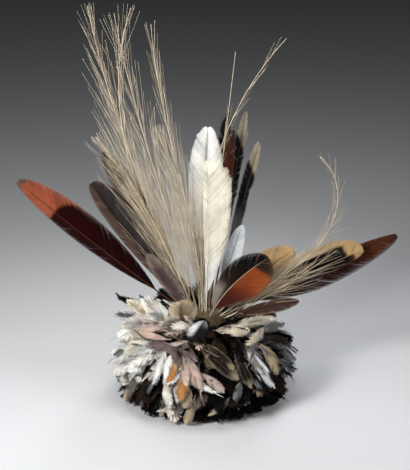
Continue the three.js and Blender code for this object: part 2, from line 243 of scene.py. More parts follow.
def tinted(name, roughness, sheen, blotch=(0.82, 1.1), grain=(0.86, 1.08), bump=0.15, specular=0.4):
    """Takes its colour from the mesh's tint, with blotches of some 20 mm and a grain of 1 to 2 mm."""
    material, tree, shader = material_nodes(name)
    tint = tree.nodes.new("ShaderNodeAttribute")
    tint.attribute_name = "tint"
    colour = tint.outputs["Color"]
    fine = noise(tree, 700, 3)
    for value, (low, high) in ((noise(tree, 55, 2), blotch), (fine, grain)):
        multiply = tree.nodes.new("ShaderNodeVectorMath")
        multiply.operation = "SCALE"
        tree.links.new(colour, multiply.inputs[0])
        tree.links.new(stretched(tree, value, low, high), multiply.inputs["Scale"])
        colour = multiply.outputs["Vector"]
    tree.links.new(colour, shader.inputs["Base Color"])
    tree.links.new(stretched(tree, fine, roughness - 0.08, roughness + 0.1), shader.inputs["Roughness"])
    ridges = tree.nodes.new("ShaderNodeBump")
    ridges.inputs["Strength"].default_value = bump
    ridges.inputs["Distance"].default_value = 0.0003
    tree.links.new(fine, ridges.inputs["Height"])
    tree.links.new(ridges.outputs["Normal"], shader.inputs["Normal"])
    shader.inputs["Sheen Weight"].default_value = sheen
    shader.inputs["Sheen Roughness"].default_value = 0.4
    shader.inputs["Specular IOR Level"].default_value = specular
    return material


VANE = tinted("feather_vane", 0.55, 0.0, specular=0.05)
DOWN = tinted("feather_down", 0.65, 0.0, blotch=(0.72, 1.12), specular=0.04)
STRAW = tinted("straw_barbs", 0.5, 0.02, blotch=(0.75, 1.15))
FIBRE = tinted("plaited_fibre", 0.8, 0.05, grain=(0.6, 1.15), bump=0.5, specular=0.25)


# ---------------------------------------------------------------- feathers


class Shaft:
    """Places, cross directions and backs along a shaft that sweeps sideways and arches backwards."""

    def __init__(self, length, sweep=0.0, arch=0.0, twist=0.0, steps=64):
        self.shares = np.linspace(0, 1, steps + 1)
        middle = (self.shares[:-1] + self.shares[1:]) / 2
        stride = self.direction(middle, sweep, arch) * length / steps
        self.place = np.concatenate([np.zeros((1, 3)), np.cumsum(stride, axis=0)])
        along = self.direction(self.shares, sweep, arch)
        side = np.radians(sweep * self.shares)
        across = np.stack([np.cos(side), np.zeros_like(side), -np.sin(side)], -1)
        back = np.cross(along, across)
        roll = np.radians(twist * self.shares)[:, None]
        self.across = across * np.cos(roll) + back * np.sin(roll)
        self.back = back * np.cos(roll) - across * np.sin(roll)

    @staticmethod
    def direction(share, sweep, arch):
        side, up = np.radians(sweep * share), np.radians(arch * share)
        return np.stack([np.sin(side) * np.cos(up), np.sin(up), np.cos(side) * np.cos(up)], -1)

    def at(self, share):
        share = np.asarray(share, float)
        found = []
        for values in (self.place, self.across, self.back):
            parts = [np.interp(share, self.shares, values[:, axis]) for axis in range(3)]
            found.append(np.stack(parts, -1))
        return found


def width_share(along, widest, blunt):
    low = np.sin(np.pi / 2 * np.clip(along / widest, 0, 1)) ** 0.8
    high = np.sqrt(np.maximum(0, 1 - np.clip((along - widest) / (1 - widest), 0, 1) ** blunt))
    return np.where(along < widest, low, high)


LOOKS = dict(
    spacing=1.25,  # between neighbouring barbs at the shaft
    stations=5,  # points along a barb
    lag=1.3,  # how far a barb's end lies up the feather, as a share of the vane's width
    curve=0.25,
    group=(5, 18),  # barbs that hold together
    clump=0.03,  # how far a group's ends draw together
    ragged=0.015,  # how unevenly whole groups end
    fray=0.02,  # how unevenly single barbs end
    split=0.08,  # how far groups stand apart, millimetres
    lift=0.25,  # how far groups bend out of the vane, millimetres
    loose=0.2,  # how far single barbs bend out of it
    shaft=(2.2, 0.5),  # the shaft's thickness at the vane's foot and at its tip
    overlap=1.35,
    twist=0.0,
    arch=0.0,
    sweep=0.0,
    cup=0.08,
    floor=None,
)


LAST_ROOT = 0.985  # where the last barb leaves the shaft, as a share of the vane
SHORTEST_BARB = 0.25  # how much of a barb is left at least
BARB_WIDTHS = (0.3, 3.2)
BARB_TILT = 12  # how far barbs roll towards the tip, in degrees
BARB_TAPER = 0.55
WANDER = 0.003  # how far colour boundaries wander from barb to barb
GROUP_SHADE, BARB_SHADE = 0.07, 0.06  # how unevenly groups and single barbs are lit
FLOOR_SOFTNESS = 4.0  # the height from which a feather starts to bend along the floor


def groups_of(rng, count, sizes):
    """The group that each of count barbs belongs to."""
    drawn = rng.integers(sizes[0], sizes[1] + 1, count)
    return np.searchsorted(np.cumsum(drawn), np.arange(count), side="right")


def group_means(values, group):
    totals = np.bincount(group, weights=values)
    return (totals / np.maximum(np.bincount(group), 1))[group]


def on_floor(points):
    """Bends whatever would pass under the surface that the headdress rests on along it."""
    height = points[..., 2]
    soft = FLOOR_SOFTNESS
    points[..., 2] = np.where(height < soft, soft * np.exp((height - soft) / soft / 1.6), height)
    return points


def feather(bundle, rng, origin, basis, length, quill, left, right, widest, blunt, tint_of, shaft_tint,
            **looks):
    """One feather: a shaft and, on both sides, its barbs as closed strips.

    tint_of(vane, out, side) gives the colour at a share along the vane, a share of the way out to the edge
    and a side, -1 or 1. shaft_tint(vane) gives the shaft's.
    """
    look = {**LOOKS, **looks}
    shaft = Shaft(length, look["sweep"], look["arch"], look["twist"])
    vane_length = length * (1 - quill)

    def in_place(local):
        points = local @ basis.T + origin
        return on_floor(points) if look["floor"] else points

    grid = np.linspace(0, 1, 240)
    for side, half in ((-1, left), (1, right)):
        lag = look["lag"] * half * width_share(grid, widest, blunt) / vane_length
        reached = np.maximum.accumulate(grid - lag)
        count = max(6, int(vane_length / look["spacing"]))
        root = np.sort(np.linspace(0.0, LAST_ROOT, count) + rng.normal(0, 0.15 / count, count))
        root = np.clip(root, 0, 0.99)
        end = np.interp(root, reached, grid)
        group = groups_of(rng, count, look["group"])
        groups = group.max() + 1
        clump = look["clump"] * rise(-end, -1.0, -0.85)
        drawn = end + clump * (group_means(end, group) - end)
        trim = 1 - look["ragged"] * np.abs(rng.normal(0, 1, groups))[group]
        trim = trim - look["fray"] * np.abs(rng.normal(0, 1, count))
        trim = np.clip(trim, SHORTEST_BARB, 1.0)
        along_shift = look["split"] * 0.6 * (rng.normal(0, 1, groups) ** 3)[group] / vane_length
        lift = look["lift"] * rng.normal(0, 1, groups)[group] + look["loose"] * rng.normal(0, 1, count)

        def layout(tail, shift, out_of_vane):
            part = np.linspace(0, 1, look["stations"])[None] * trim[:, None]
            bend = look["curve"]
            sideways = part * (1 + bend) - bend * part ** 2
            forward = part * (1 - bend) + bend * part ** 2
            vane = root[:, None] + (tail - root)[:, None] * forward + shift[:, None] * part ** 2
            reach = half * width_share(tail, widest, blunt)[:, None] * sideways
            share = quill + (1 - quill) * np.clip(vane, 0, 1)
            place, across, back = shaft.at(share)
            over = (vane - 1).clip(0)[..., None] * vane_length * np.cross(across, back)
            depth = look["cup"] * reach + out_of_vane[:, None] * part ** 2
            path = place + over + across * (side * reach)[..., None] + back * depth[..., None]
            return path, vane, reach, back

        still = np.zeros(count)
        even, _, _, _ = layout(end, still, still)
        pace = unit(np.gradient(even, axis=1))
        apart = np.gradient(even, axis=0)
        apart = np.linalg.norm(apart - (apart * pace).sum(-1, keepdims=True) * pace, axis=-1)
        path, vane, reach, back = layout(drawn, along_shift, lift)
        taper = 1 - BARB_TAPER * np.linspace(0, 1, look["stations"])[None] ** 4
        width = np.clip(apart * look["overlap"], *BARB_WIDTHS) * taper
        out = reach / np.maximum(half * width_share(np.clip(vane, 0, 1), widest, blunt), 1.0)
        wander = WANDER * rng.normal(0, 1, groups)[group] + WANDER * rng.normal(0, 1, count)
        shade = 1 + GROUP_SHADE * rng.normal(0, 1, groups)[group] + BARB_SHADE * rng.normal(0, 1, count)
        tint = tint_of(np.clip(vane + wander[:, None], 0, 1), np.clip(out, 0, 1), side) * shade[:, None, None]
        tilt = math.radians(BARB_TILT) * side
        pace = unit(np.gradient(path, axis=1))
        normal = -back * math.cos(tilt) + np.cross(back, pace) * math.sin(tilt)
        bundle.add(in_place(path), width, np.minimum(width * 0.3, 0.4), normal @ basis.T, tint)

    share = np.linspace(0, 0.995, 14)
    place, _, back = shaft.at(share)
    vane = np.clip((share - quill) / (1 - quill), 0, 1)
    thick, thin = look["shaft"]
    girth = thick + (thin - thick) * vane ** 0.8
    tube_path = in_place(place)[None]
    tint = shaft_tint(vane)[None]
    bundle.add(tube_path, girth[None], girth[None] * 1.1, (-back @ basis.T)[None], tint, tube(6))


# Colours of the vanes and shafts, and of the painted shadow on the rufous_left feather.
SALMON = (0.27, 0.070, 0.035)
RUST = (0.25, 0.055, 0.016)
# The dark maroon that follows is painted shadow: the shade a neighbouring feather casts on the rufous_left
# feather's vane.
MAROON_SHADOW = (0.014, 0.0012, 0.0010)
REDDISH = (0.075, 0.022, 0.012)
UMBER = (0.030, 0.016, 0.010)
BLACK = (0.006, 0.005, 0.005)
PINK_BROWN = (0.078, 0.048, 0.038)
SLATE = (0.030, 0.027, 0.028)
GREY_BROWN = (0.085, 0.060, 0.045)
WHITE = (0.80, 0.80, 0.78)
IVORY = (0.76, 0.72, 0.60)
BEIGE = (0.44, 0.35, 0.24)
OCHRE = (0.50, 0.33, 0.16)
BLUISH = (0.60, 0.64, 0.68)
PALE_SHAFT = (0.42, 0.30, 0.23)
TAN_SHAFT = (0.42, 0.33, 0.21)
DARK_SHAFT = (0.020, 0.014, 0.012)


def same(colour):
    return lambda vane: mix(colour, colour, vane)


# Painted shadow: below about 0.72 of the vane the colour is dark maroon, and black towards the foot, for the
# shadow a neighbouring feather casts on it; the salmon above it and along the right vane's edge lies outside
# that shadow.
def rufous_left(vane, out, side):
    colour = mix(MAROON_SHADOW, SALMON, rise(vane + 0.12 * out ** 4 * (side > 0), 0.72, 0.735))
    colour = mix(colour, BLACK, 0.7 * rise(-vane, -0.25, 0))
    colour = mix(colour, GREY_BROWN, rise(vane + 0.035 * out, 0.955, 1.0))
    if side > 0:
        return mix(colour, SALMON, 0.8 * rise(out, 0.86, 0.97) * rise(vane, 0.52, 0.62))
    return mix(colour, GREY_BROWN, 0.8 * rise(out, 0.86, 0.97))


def brown_left_1(vane, out, side):
    if side < 0:
        colour = mix(PINK_BROWN, PINK_BROWN, vane)
    else:
        colour = mix(SLATE, GREY_BROWN, 0.5 * rise(out, 0.3, 1))
        colour = mix(colour, UMBER, 0.7 * rise(-out, -0.35, 0))
    return mix(colour, UMBER, 0.6 * rise(vane, 0.84, 1.0) + 0.5 * rise(-vane, -0.2, 0))


def brown_left_2(vane, out, side):
    colour = mix(PINK_BROWN, GREY_BROWN, 0.3 * out) if side < 0 else mix(SLATE, UMBER, 0.4 + 0.3 * vane)
    return mix(colour, UMBER, 0.5 * rise(vane, 0.86, 1.0))


def white_tall(vane, out, side):
    streak = 0.7 * rise(-vane, -0.45, -0.2) * rise(out, 0.2, 0.7) * (side < 0)
    return mix(mix(WHITE, IVORY, 0.4 * (1 - vane)), BEIGE, streak)


def white_broad(vane, out, side):
    return mix(mix(IVORY, WHITE, rise(-vane, -0.4, -0.1)), BEIGE, 0.25 * rise(out, 0.8, 1) * (side > 0))


def white_short(vane, out, side):
    return mix(BLUISH, WHITE, 0.5 * out)


def dark_vane(vane, out, side):
    colour = mix(REDDISH, UMBER, rise(vane, 0.3, 0.7))
    return mix(colour, BLACK, 0.8 * rise(vane + 0.15 * out, 0.72, 0.95))


def dark_white_edge(vane, out, side):
    colour = mix(REDDISH, UMBER, rise(vane, 0.75, 1.0))
    if side > 0:
        return mix(colour, WHITE, rise(out, 0.25, 0.5) * rise(-vane, -0.72, -0.6))
    return colour


def tipped(vane, out, side):
    colour = mix((0.16, 0.15, 0.15), BLACK, rise(vane, 0.35, 0.6))
    colour = mix(colour, (0.27, 0.23, 0.17), rise(vane + 0.06 * out * side, 0.80, 0.83))
    pale_edge = (side > 0) * rise(out, 0.7, 0.9) * rise(-vane, -0.75, -0.65) * rise(vane, 0.5, 0.6)
    return mix(colour, WHITE, 0.8 * pale_edge)


def rufous_front(vane, out, side):
    if side < 0:
        colour = mix(UMBER, BLACK, rise(vane, 0.2, 0.8))
        return mix(colour, (0.30, 0.26, 0.22), rise(-vane, -0.42, -0.25) * rise(out, 0.1, 0.4))
    colour = mix((0.060, 0.014, 0.009), RUST, rise(vane, 0.2, 0.65))
    colour = mix(colour, (0.32, 0.075, 0.020), rise(vane, 0.4, 0.65) * rise(out, 0.3, 0.8))
    colour = mix(colour, UMBER, rise(vane + 0.1 * (1 - out), 0.84, 0.90))
    return mix(colour, (0.20, 0.14, 0.10), 0.6 * rise(out, 0.8, 1.0) * rise(-vane, -0.4, -0.2))


def ochre(vane, out, side):
    return mix(mix(BEIGE, OCHRE, rise(vane, 0.3, 0.7)), PINK_BROWN, 0.25 * out)


def tan_barred(vane, out, side):
    if side < 0:
        colour = mix(BEIGE, OCHRE, rise(vane, 0.55, 0.9))
        band = rise(vane, 0.30, 0.42) * rise(-vane, -0.88, -0.85) * rise(-out, -0.66, -0.56)
        return mix(colour, BLACK, band)
    colour = mix((0.075, 0.036, 0.022), REDDISH, vane)
    band = rise(vane, 0.25, 0.4) * rise(-vane, -0.9, -0.86)
    return mix(mix(colour, BLACK, band * rise(-out, -0.95, -0.7)), OCHRE, rise(vane, 0.9, 0.93))


def rufous_right(vane, out, side):
    colour = mix((0.034, 0.009, 0.006), (0.075, 0.020, 0.009), rise(vane, 0.6, 0.85))
    return mix(colour, UMBER, 0.75 * rise(vane, 0.9, 1.0) + 0.5 * rise(out, 0.75, 1.0))


def brown_right(vane, out, side):
    return mix((0.060, 0.036, 0.026), (0.11, 0.055, 0.040), vane * out)


WORN = dict(ragged=0.03, fray=0.03, split=0.4, clump=0.05)
SMOOTH = dict(ragged=0.008, fray=0.012, split=0.0, lift=0.1, loose=0.08)
TATTERED = dict(ragged=0.16, fray=0.12, split=1.6, clump=0.18, lift=1.4)

# As in the part: at is where the quill starts, aim its lean, back and turn, and quill the shaft's bare share.
# tint_of, bone and wear are the vanes' colours, the shaft's colour and how worn the barbs are.
LONG_FEATHERS = table(
    "name slot at aim length quill left right widest blunt sweep cup tint_of bone wear",
    ("rufous_left", "rufous", (-18, 2, 112), (-53, 3, 0), 300, 0.2,
     14, 29, 0.55, 2, 4, 0.08, rufous_left, REDDISH, dict(SMOOTH, stations=10)),
    ("brown_left_1", "brown", (-13, -4, 112), (-38, -1, 0), 238, 0.18,
     13, 25, 0.66, 3, 6, 0.08, brown_left_1, DARK_SHAFT, SMOOTH),
    ("brown_left_2", "brown", (-9, 8, 112), (-32, 3, 0), 262, 0.18,
     12, 26, 0.55, 2, 6, 0.08, brown_left_2, DARK_SHAFT, {}),
    ("white_tall", "white", (0, 6, 112), (1, 4, 0), 264, 0.16,
     25, 22, 0.7, 2, 1, 0.08, white_tall, TAN_SHAFT, WORN),
    ("white_broad", "white", (4, -5, 112), (2, 1, 0), 224, 0.16,
     7, 33, 0.74, 4, -3, 0.08, white_broad, IVORY, WORN),
    ("dark_1", "dark_brown", (5, 15, 112), (5, 5, 12), 283, 0.16,
     12, 9, 0.78, 1.6, 2, 0.08, dark_vane, UMBER, TATTERED),
    ("dark_2", "dark_brown", (9, 11, 112), (6, 4, 8), 260, 0.16,
     8, 10, 0.7, 1.6, 2, 0.08, dark_white_edge, REDDISH, WORN),
    ("tipped_1", "tipped", (12, 18, 112), (9, 6, 10), 284, 0.16,
     9, 9, 0.82, 2, 1, 0.08, tipped, GREY_BROWN, TATTERED),
    ("tipped_2", "tipped", (17, 15, 112), (13, 5, 10), 246, 0.16,
     10, 8, 0.8, 1.6, 2, 0.08, tipped, GREY_BROWN, WORN),
    ("white_short", "white", (18, 8, 110), (14, 3, 0), 134, 0.2,
     13, 12, 0.6, 1.8, 3, 0.08, white_short, BLUISH, {}),
    ("tan_broad", "tan", (14, 2, 108), (44, 1, 0), 148, 0.2,
     27, 22, 0.62, 2, 8, 0.05, ochre, TAN_SHAFT, SMOOTH),
    ("rufous_right", "rufous", (23, 8, 106), (62, 2, 0), 270, 0.2,
     12, 29, 0.5, 1.5, 4, 0.05, rufous_right, UMBER, SMOOTH),
    ("tan_barred", "tan", (19, -2, 107), (60, 1, 0), 224, 0.2,
     31, 13, 0.62, 3, 6, 0.05, tan_barred, PALE_SHAFT, dict(SMOOTH, stations=9)),
    ("brown_right", "dark_brown", (14, -11, 106), (69, -1, 0), 122, 0.22,
     9, 13, 0.6, 1.8, 10, 0.08, brown_right, UMBER, WORN),
    ("rufous_front", "rufous", (4, -15, 106), (21, -8, 0), 137, 0.19,
     24, 38, 0.62, 2, 36, 0.1, rufous_front, PALE_SHAFT, dict(SMOOTH, stations=8)),
)


def make_long_feather(number, row):
    rng = np.random.default_rng([11, number])
    form = {key: row[key] for key in "length quill left right widest blunt sweep cup".split()}
    bundle = Bundle()
    feather(bundle, rng, np.array(row["at"], float), turned(*row["aim"]), tint_of=row["tint_of"],
            shaft_tint=same(row["bone"]), **form, **row["wear"])
    finish_piece(bundle.build(f"{row['name']}_feather", VANE), row["slot"], row["name"])


for number, row in enumerate(LONG_FEATHERS):
    make_long_feather(number, row)


# ---------------------------------------------------------------- straw plumes

# As in the part: at is where the stem starts, and foot, middle and tip are its lean along the way. barbs,
# reach and spread are the number of fine barbs, their length and their angle to the stem.
PLUMES = table(
    "name at foot middle tip back length barbs reach spread",
    ("straw_plume_1", (-9, 3.5, 108), -22, -19, -10, 1.5, 453, 105, 120, 10),
    ("straw_plume_2", (-9, -1, 108), -25, -15, 20, 0.5, 450, 92, 115, 10),
    ("straw_plume_3", (-5, 1, 108), -14, -16, -9, 1, 436, 105, 115, 10),
    ("straw_plume_4", (-1, -1.5, 108), 0, -13, -3, 1, 414, 80, 95, 8),
    ("straw_plume_5", (-8, -5.5, 108), -20, -25, -38, -3, 298, 145, 120, 13),
    ("straw_plume_6", (-4.5, 5.2, 108), 0, -13, -20, 0.5, 276, 140, 110, 11),
    ("straw_plume_7", (4, 1, 108), -8, 14, 42, 1, 416, 30, 60, 10),
    ("straw_plume_8", (8, 0, 108), 2, 6, 6, 3, 371, 14, 70, 5),
    ("straw_plume_9", (22, -6, 106), 62, 57, 50, 0, 190, 60, 80, 19),
    ("curled_plume", (16, -8, 108), 47, 44, -50, 0, 316, 110, 52, 18),
)
STRAW_PALE = (0.80, 0.71, 0.54)
STRAW_BROWN = (0.50, 0.38, 0.24)
STEM_STATIONS = 40
TIP_OVER = 4.0  # how far the fine barbs reach past a stem's tip


def lean_along(share, foot, middle, tip):
    return foot + (4 * middle - 3 * foot - tip) * share + 2 * (foot + tip - 2 * middle) * share ** 2


def make_plume(number, row):
    rng = np.random.default_rng([23, number])
    bundle = Bundle()
    shares = np.linspace(0, 1, STEM_STATIONS + 1)
    lean = np.radians(lean_along(shares, row["foot"], row["middle"], row["tip"]))
    tilt = math.radians(row["back"])
    stride = np.stack([np.sin(lean) * math.cos(tilt), np.full_like(lean, math.sin(tilt)),
                       np.cos(lean) * math.cos(tilt)], -1) * row["length"] / STEM_STATIONS
    stem = np.cumsum((stride[:-1] + stride[1:]) / 2, axis=0)
    stem = np.concatenate([np.zeros((1, 3)), stem]) + row["at"]
    front = np.array([0.0, -1.0, 0.0])
    girth = 1.7 - 1.1 * shares
    tone = mix(STRAW_PALE, STRAW_BROWN, 0.35 + 0.25 * shares)
    normal = np.broadcast_to(front, stem.shape)
    bundle.add(stem[None], girth[None], girth[None], normal[None], tone[None], tube(6))

    count = row["barbs"]
    root = np.sort(0.05 + 0.93 * rng.beta(1.1, 1.5, count))
    side = rng.choice([-1.0, 1.0], count)
    start_lean = lean_along(root, row["foot"], row["middle"], row["tip"])
    reach = row["reach"] * (1.3 - 0.85 * root) * rng.uniform(0.65, 1.15, count)
    reach = np.minimum(reach, row["length"] * (1 - root) + TIP_OVER)
    opening = side * row["spread"] * np.clip(rng.normal(1.0, 0.4, count), 0.2, 2.2)
    closing = -opening * rng.uniform(0.1, 0.7, count)
    start = np.stack([np.interp(root, shares, stem[:, axis]) for axis in range(3)], -1)
    stations = 6
    part = np.linspace(0, 1, stations)
    angle = np.radians(start_lean[:, None] + opening[:, None] + closing[:, None] * part)
    out = np.radians(rng.normal(0, 8, count))[:, None] * np.ones(stations) + tilt
    pace = np.stack([np.sin(angle) * np.cos(out), np.sin(out), np.cos(angle) * np.cos(out)], -1)
    pace = pace * (reach / (stations - 1))[:, None, None]
    path = start[:, None] + np.concatenate([np.zeros((count, 1, 3)), np.cumsum(pace, axis=1)[:, :-1]], axis=1)
    width = rng.uniform(0.27, 0.42, count)[:, None] * (1 - 0.4 * part)
    brown = np.clip(rng.uniform(-0.2, 0.9, count) + (0.5 if row["name"] == "curled_plume" else 0), 0, 1)
    tint = np.broadcast_to(mix(STRAW_PALE, STRAW_BROWN, brown)[:, None], path.shape)
    bundle.add(path, width, width, np.broadcast_to(front, path.shape), tint)
    finish_piece(bundle.build(f"{row['name']}_barbs", STRAW), "straw", row["name"])


for number, row in enumerate(PLUMES):
    make_plume(number, row)


# ---------------------------------------------------------------- short feathers

# rise is the height of the strip on the cap. The front feathers that start between lowest and highest belong
# to the row. The other columns are as in the part.
ROWS = table(
    "name slot rise lowest highest pitch droop left right count length width",
    ("feather_row_1", "black_down", 24, 0, 45, -8, 48, 0, 0, 20, 36, 27),
    ("feather_row_2", "mixed_down", 48, 45, 75, 2, 64, 0, 0, 20, 50, 26),
    ("feather_row_3", "mixed_down", 67, 75, 95, 14, 64, 4, 0, 20, 60, 26),
    ("feather_row_4", "mixed_down", 83, 95, 108, 30, 58, 10, -16, 16, 66, 27),
    ("feather_row_5", "cream_down", 93, 108, 200, 60, 62, 4, -38, 12, 62, 28),
)

# Colours of a short feather: its downy foot, its middle, its tip and its edge.
TONES = {
    "white": ((0.58, 0.55, 0.50), (0.84, 0.82, 0.77), (0.86, 0.84, 0.79), (0.84, 0.82, 0.78)),
    "cream": ((0.50, 0.44, 0.36), (0.76, 0.69, 0.56), (0.78, 0.71, 0.57), (0.70, 0.63, 0.50)),
    "beige": ((0.25, 0.205, 0.155), (0.43, 0.345, 0.245), (0.54, 0.44, 0.31), (0.54, 0.45, 0.32)),
    "rosy": ((0.46, 0.36, 0.31), (0.66, 0.50, 0.43), (0.70, 0.58, 0.50), (0.62, 0.50, 0.43)),
    "mauve": ((0.17, 0.13, 0.115), (0.15, 0.105, 0.098), (0.24, 0.185, 0.17), (0.28, 0.22, 0.20)),
    "grey": ((0.28, 0.27, 0.26), (0.20, 0.20, 0.20), (0.12, 0.12, 0.125), (0.38, 0.37, 0.35)),
    "brown": ((0.030, 0.020, 0.015), (0.018, 0.010, 0.007), (0.030, 0.017, 0.011), (0.050, 0.032, 0.021)),
    "black": ((0.008, 0.007, 0.007), (0.003, 0.0025, 0.003), (0.004, 0.0035, 0.004), (0.006, 0.005, 0.006)),
    "edged": ((0.030, 0.022, 0.017), (0.012, 0.008, 0.006), (0.30, 0.24, 0.16), (0.44, 0.35, 0.24)),
    "orange": ((0.48, 0.38, 0.27), (0.50, 0.22, 0.075), (0.56, 0.28, 0.11), (0.58, 0.37, 0.18)),
    "green": ((0.60, 0.58, 0.50), (0.22, 0.36, 0.07), (0.18, 0.30, 0.05), (0.30, 0.40, 0.14)),
    "bluish": ((0.52, 0.54, 0.56), (0.62, 0.66, 0.70), (0.66, 0.70, 0.74), (0.70, 0.74, 0.78)),
    "tan_tip": ((0.20, 0.18, 0.15), (0.23, 0.21, 0.18), (0.52, 0.41, 0.27), (0.36, 0.31, 0.25)),
    "pied": ((0.32, 0.30, 0.28), (0.012, 0.010, 0.011), (0.012, 0.010, 0.011), (0.018, 0.015, 0.015)),
}

# Where each mixture of colours grows: turn round the cap in degrees (0 right, 90 back, 180 left, 270 front)
# and height from 0 at the rim to 1 at the crown.
# The black near height 0 is partly black feathers and partly painted shade at the foot of the coat, under the
# overhanging mass.
ZONES = table(
    "turn high mixture",
    (184, 1.0, "white white black"),
    (188, 0.5, "white cream white grey"),
    (200, 0.1, "tan_tip black brown"),
    (214, 0.8, "white cream white rosy"),
    (214, 0.4, "white white grey black"),
    (236, 0.8, "rosy cream white"),
    (240, 0.3, "white brown white grey"),
    (240, 0.0, "black white black"),
    (258, 0.7, "rosy mauve mauve"),
    (262, 0.3, "mauve white brown"),
    (270, 0.0, "black"),
    (285, 0.8, "brown black edged"),
    (290, 0.4, "edged brown black"),
    (310, 0.1, "black"),
    (314, 0.9, "brown white edged black"),
    (320, 0.5, "pied edged brown black"),
    (340, 0.7, "grey black brown pied"),
    (340, 0.1, "black black brown"),
    (10, 0.6, "black brown pied edged"),
    (40, 0.7, "brown edged black pied grey"),
    (40, 0.0, "black brown black"),
    (90, 0.7, "white cream brown black pied"),
    (90, 0.1, "black brown beige black"),
    (140, 0.7, "white cream grey rosy mauve"),
    (140, 0.1, "beige black grey white"),
)

# Forms of a short feather. width is of both vanes as a share of the part's lock.
FORMS = {
    "body": dict(width=0.9, widest=0.62, blunt=2.6, quill=0.08, group=(2, 8), clump=0.05, ragged=0.02,
                 fray=0.05, split=0.6, lift=0.9, loose=0.6),
    "hackle": dict(width=0.5, widest=0.45, blunt=1.5, quill=0.06, group=(1, 4), clump=0.06, ragged=0.05,
                   fray=0.14, split=0.9, lift=1.2, loose=1.2, lag=2.0),
    "downy": dict(width=1.0, widest=0.5, blunt=2.0, quill=0.04, group=(1, 3), clump=0.15, ragged=0.06,
                  fray=0.22, split=1.4, lift=2.0, loose=2.4, lag=1.7),
}
SHORT_LOOKS = dict(spacing=1.5, stations=3, shaft=(1.1, 0.3), overlap=1.25, floor=True)
UNDER_LOOKS = dict(SHORT_LOOKS, spacing=2.4, overlap=1.4)
FORM_ODDS = [0.38, 0.24, 0.38]
STRAY = 0.15  # share of the feathers that don't have their lock's colour
TUFTS = 5  # feathers in place of each of the part's locks
# Painted shade: the dark feathers beneath each lock, black or brown, darken the gaps between the tufts where
# the coat lies in shade.
SHADE_FEATHERS = 2  # dark ones beneath each lock
UNDER_PITCH = 20  # how much lower they point
COAT_FOOT, COAT_RISE = 20, 75  # the strips' heights that count as 0 and 1 in ZONES
TURN_SPREAD, HIGH_SPREAD = 5, 0.07  # how far colours wander from their zone
TURN_REACH, HIGH_REACH = 20, 0.3  # the turn and height that count as equally far

# How loosely the short feathers lie, in degrees, and along the cap in millimetres.
SEAT_SPREAD = 5
PITCH_SPREAD, SKEW_SPREAD, ROLL_SPREAD, SWEEP_SPREAD, TWIST_SPREAD = 9, 12, 24, 10, 20


def cap_surface(height):
    climb = max(0.0, (height - CAP_UPRIGHT) / CAP_DOME)
    angle = math.asin(min(1.0, climb))
    outward = unit(np.array([math.cos(angle) / CAP_RADIUS, math.sin(angle) / CAP_DOME]))
    return CAP_RADIUS * math.cos(angle), outward


def zone_tone(rng, turn, high):
    """The name of a colour for a feather at a turn and height, from the nearest mixture."""
    turn = turn + rng.normal(0, TURN_SPREAD)
    high = high + rng.normal(0, HIGH_SPREAD)

    def distance(zone):
        round_the_cap = (zone["turn"] - turn + 180) % 360 - 180
        return math.hypot(round_the_cap / TURN_REACH, (zone["high"] - high) / HIGH_REACH)

    return rng.choice(min(ZONES, key=distance)["mixture"].split())


def tone_tint(rng, tone):
    foot, middle, tip, edge = (np.array(colour) for colour in TONES[tone])
    value = rng.uniform(0.82, 1.12)
    warm = 1 + rng.uniform(-0.05, 0.05) * np.array([1, 0, -1.2])
    pied_side = rng.choice([-1, 1])

    def tint_of(vane, out, side):
        colour = mix(foot, middle, rise(vane, 0.1, 0.45))
        colour = mix(colour, tip, rise(vane, 0.7, 0.92))
        colour = mix(colour, edge, rise(out, 0.6, 0.95))
        if tone == "pied" and side == pied_side:
            colour = mix(colour, WHITE, rise(out, 0.1, 0.4) * rise(-vane, -0.9, -0.75))
        return colour * value * warm

    def shaft_tint(vane):
        return mix(middle * 0.8 + 0.02, tip * 0.8 + 0.02, vane) * value

    return tint_of, shaft_tint


def lock_frame(row, number, index):
    """Turn, pitch, skew, length and sweep of one of the part's locks."""
    seat = index + 0.5 * (number % 2) + 0.12 * unevenness(index, number)
    turn = seat / row["count"] * math.pi * 2
    rightward = math.cos(turn)
    lift = (row["left"] if rightward < 0 else row["right"]) * rightward ** 2
    pitch = row["pitch"] + lift + 5 * unevenness(index, number + 10)
    skew = math.degrees(turn) + 5 * unevenness(index, number + 20)
    length = row["length"] * (1 + 0.12 * unevenness(index, number + 30))
    return turn, pitch, skew, length, 14 * unevenness(index, number + 40)


def hanging_frame(pitch, skew):
    """A frame whose along leaves the cap at a pitch above level and whose back points down."""
    pitch, skew = math.radians(pitch), math.radians(skew)
    level = np.array([math.cos(skew), math.sin(skew), 0])
    along = level * math.cos(pitch) + UP * math.sin(pitch)
    back = level * math.sin(pitch) - UP * math.cos(pitch)
    return np.stack([np.cross(back, along), back, along], -1)


